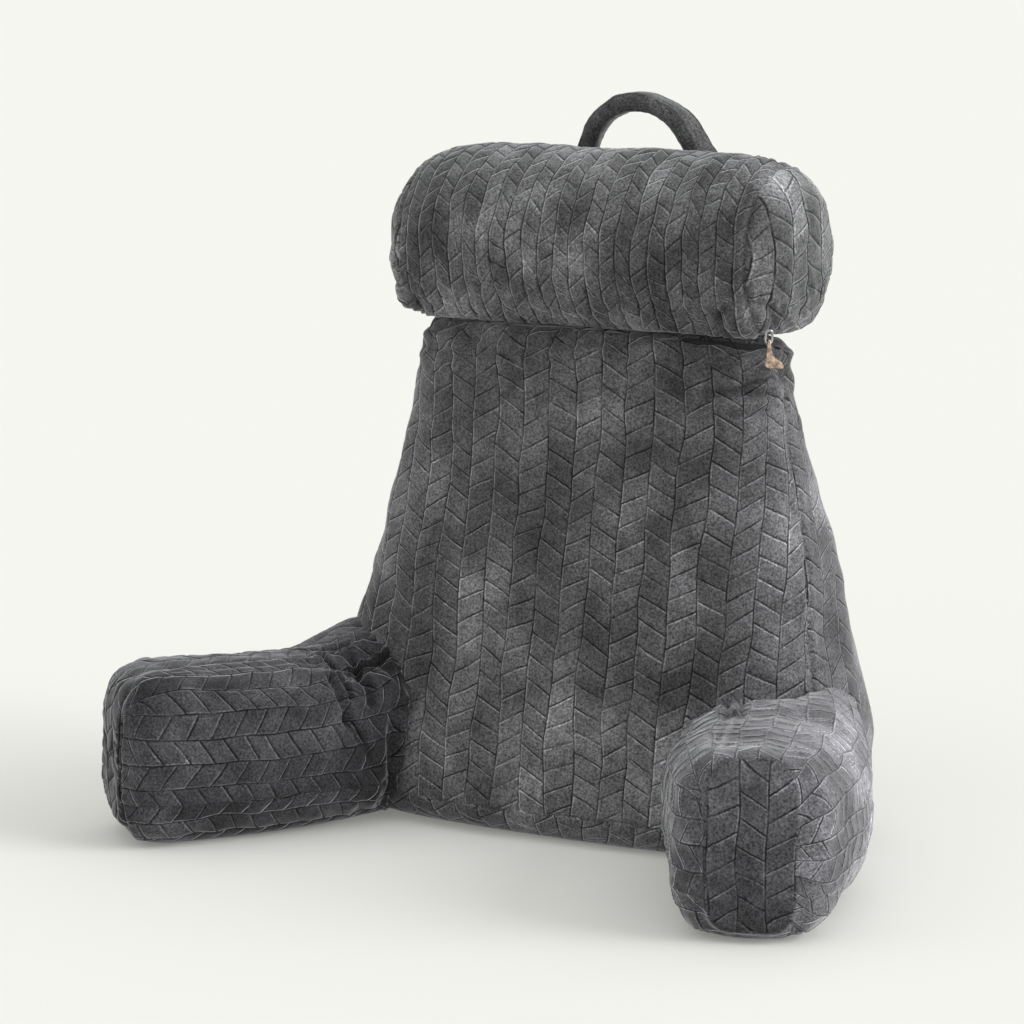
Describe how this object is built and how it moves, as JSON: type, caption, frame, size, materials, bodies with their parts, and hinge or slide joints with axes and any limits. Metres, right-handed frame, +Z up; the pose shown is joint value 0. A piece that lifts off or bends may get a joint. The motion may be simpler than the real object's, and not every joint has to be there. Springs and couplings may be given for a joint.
{
  "type": "reading pillow with arms",
  "caption": "Free-standing backrest cushion with splayed arms, a neck roll across its top and a carry loop, in chevron-embossed dark grey velvet.",
  "frame": {"origin": "on the floor under the middle of the backrest's underside", "axes": "+Z up, front of the pillow towards -Y, +X towards the zip's end of the crease"},
  "size_m": [0.8204, 0.5208, 0.7345],
  "materials": {
    "velvet_backrest": "short-pile velvet embossed with a chevron pattern",
    "velvet_arm_left": "short-pile velvet embossed with a chevron pattern",
    "velvet_arm_right": "short-pile velvet embossed with a chevron pattern",
    "velvet_roll": "short-pile velvet embossed with a chevron pattern",
    "velvet_handle": "short-pile velvet, plain, sewn edge ridge",
    "zip_tape_cloth": "woven zip tape with a coil",
    "zip_stop_metal": "satin",
    "zip_slider_metal": "bright, lightly worn",
    "zip_pull_metal": "satin rose-gold plating"
  },
  "bodies": {
    "root": {"backrest": "velvet_backrest", "arm_left": "velvet_arm_left", "arm_right": "velvet_arm_right", "neck_roll": "velvet_roll", "carry_handle": "velvet_handle", "zip_tape": "zip_tape_cloth", "zip_stop": "zip_stop_metal", "zip_slider": "zip_slider_metal", "zip_pull": "zip_pull_metal"}
  },
  "joints": []
}
